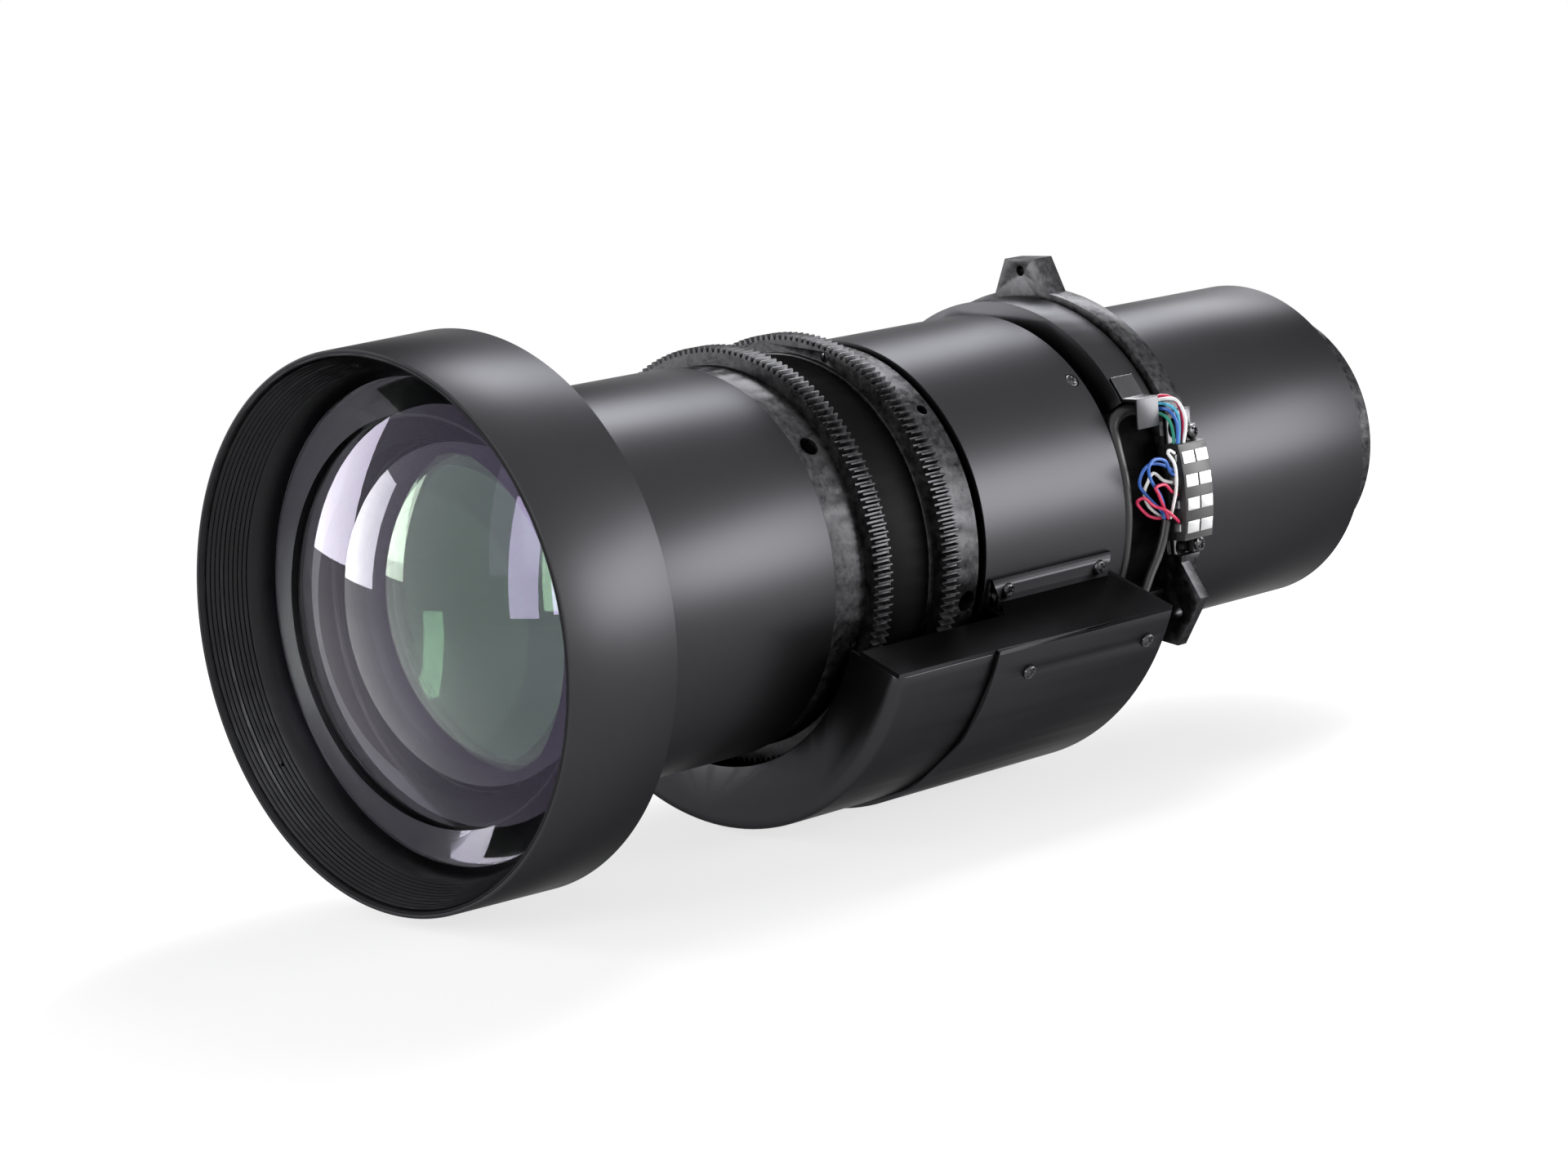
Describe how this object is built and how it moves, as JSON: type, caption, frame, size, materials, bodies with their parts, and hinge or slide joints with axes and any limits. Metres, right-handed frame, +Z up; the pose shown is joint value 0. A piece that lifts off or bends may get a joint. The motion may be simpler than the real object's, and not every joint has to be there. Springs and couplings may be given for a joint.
{
  "type": "projection lens",
  "caption": "Motorised projection zoom lens with a domed front glass in a hood, toothed focus and zoom rings, a motor cover below, a tabbed mounting flange, contact block and rear barrel.",
  "frame": {"origin": "on the lens axis, in the plane of the flange's rear seating face", "axes": "+Y runs rearward along the lens axis, away from the hood, +Z is up toward the top tab, +X is the side with the contact block"},
  "size_m": [0.1718, 0.4193, 0.1744],
  "materials": {
    "black_anodised": "satin black anodised aluminium",
    "black_inner": "matte black, fine turned grooves",
    "black_cast": "slightly mottled satin black on a cast or cut-toothed part",
    "bracket_black": "satin black on bent or machined brackets",
    "glass": "coated optical glass, pale lilac reflections",
    "screw_black": "blackened steel",
    "screw_steel": "dark plated steel pan-head screws",
    "pin_brass": "turned guide pins",
    "pinion_brass": "cut teeth",
    "motor_steel": "plain motor can",
    "switch_black": "moulded switch body",
    "bracket_plated": "bright plated sheet",
    "block_plastic": "moulded black insulating block",
    "contact_silver": "silver-plated contact pads and solder tags",
    "cable_black": "smooth black sheath with no printing",
    "wire_blue": "insulated wire",
    "wire_red": "insulated wire",
    "wire_white": "insulated wire",
    "wire_green": "insulated wire",
    "wire_light_blue": "insulated wire"
  },
  "bodies": {
    "lens_body": {"main_barrel": "black_anodised", "gear_seat": "black_anodised", "motor_saddle": "bracket_black", "focus_motor": "motor_steel", "zoom_motor": "motor_steel", "limit_switches": "switch_black", "iris_ring": "black_inner", "rear_carrier": "black_inner", "middle_sleeve": "black_anodised", "sleeve_screws": "screw_black", "rear_collar": "black_anodised", "mount_flange": "black_cast", "flange_screws": "screw_black", "rear_barrel": "black_anodised", "relay_cell": "black_inner", "relay_glass": "glass", "tail_ring": "black_cast", "rear_glass": "glass", "cover_front": "black_anodised", "cover_rear": "black_anodised", "cover_bracket_right": "bracket_black", "cover_bracket_left": "bracket_black", "bracket_screws": "screw_steel", "cover_screws": "screw_steel", "terminal_bracket": "bracket_plated", "contact_block": "block_plastic", "contacts": "contact_silver", "solder_tags": "contact_silver", "block_screws": "screw_steel", "cable_clip": "bracket_plated", "motor_cable": "cable_black", "switch_cable": "cable_black", "wires_blue": "wire_blue", "wires_red": "wire_red", "wires_white": "wire_white", "wire_green": "wire_green", "wire_light_blue": "wire_light_blue"},
    "front_group": {"hood": "black_anodised", "hood_baffle": "black_inner", "front_glass": "glass", "front_cell": "black_anodised", "inner_cell": "black_inner", "second_glass": "glass", "third_glass": "glass", "front_barrel": "black_anodised", "focus_sleeve": "black_anodised", "focus_pins": "pin_brass"},
    "focus_ring_body": {"focus_ring": "black_cast", "focus_band_screws": "screw_black"},
    "zoom_ring_body": {"zoom_ring": "black_cast", "zoom_ring_screws": "screw_black", "cam_tube": "black_inner"},
    "zoom_group_a": {"zoom_cell_a": "black_inner", "zoom_glass_a": "glass", "zoom_pins_a": "pin_brass"},
    "zoom_group_b": {"zoom_cell_b": "black_inner", "zoom_glass_b": "glass", "zoom_pins_b": "pin_brass"},
    "focus_pinion_body": {"focus_pinion": "pinion_brass"},
    "zoom_pinion_body": {"zoom_pinion": "pinion_brass"}
  },
  "joints": [
    {"name": "focus_turn", "type": "hinge", "parent": "lens_body", "child": "focus_ring_body", "pos_m": [0, -0.165, 0], "axis": [0, 1, 0], "range_deg": [0, 90]},
    {"name": "front_slide", "type": "slide", "parent": "lens_body", "child": "front_group", "axis": [0, -1, 0], "range_m": [0, 0.0045]},
    {"name": "focus_pinion_spin", "type": "hinge", "parent": "lens_body", "child": "focus_pinion_body", "pos_m": [0.03387, -0.1526, -0.0637], "axis": [0, 1, 0], "range_deg": [-990, 0]},
    {"name": "zoom_turn", "type": "hinge", "parent": "lens_body", "child": "zoom_ring_body", "pos_m": [0, -0.122, 0], "axis": [0, 1, 0], "range_deg": [0, 90]},
    {"name": "zoom_a_slide", "type": "slide", "parent": "lens_body", "child": "zoom_group_a", "axis": [0, -1, 0], "range_m": [0, 0.02]},
    {"name": "zoom_b_slide", "type": "slide", "parent": "lens_body", "child": "zoom_group_b", "axis": [0, 1, 0], "range_m": [0, 0.01]},
    {"name": "zoom_pinion_spin", "type": "hinge", "parent": "lens_body", "child": "zoom_pinion_body", "pos_m": [-0.03387, -0.122, -0.0637], "axis": [0, 1, 0], "range_deg": [-990, 0]}
  ],
  "couplings": [
    {"joint": "front_slide", "follows": "focus_turn", "m_per_rad": 0.0028648},
    {"joint": "focus_pinion_spin", "follows": "focus_turn", "ratio": -11},
    {"joint": "zoom_a_slide", "follows": "zoom_turn", "m_per_rad": 0.012732},
    {"joint": "zoom_b_slide", "follows": "zoom_turn", "m_per_rad": 0.0063661},
    {"joint": "zoom_pinion_spin", "follows": "zoom_turn", "ratio": -11}
  ]
}
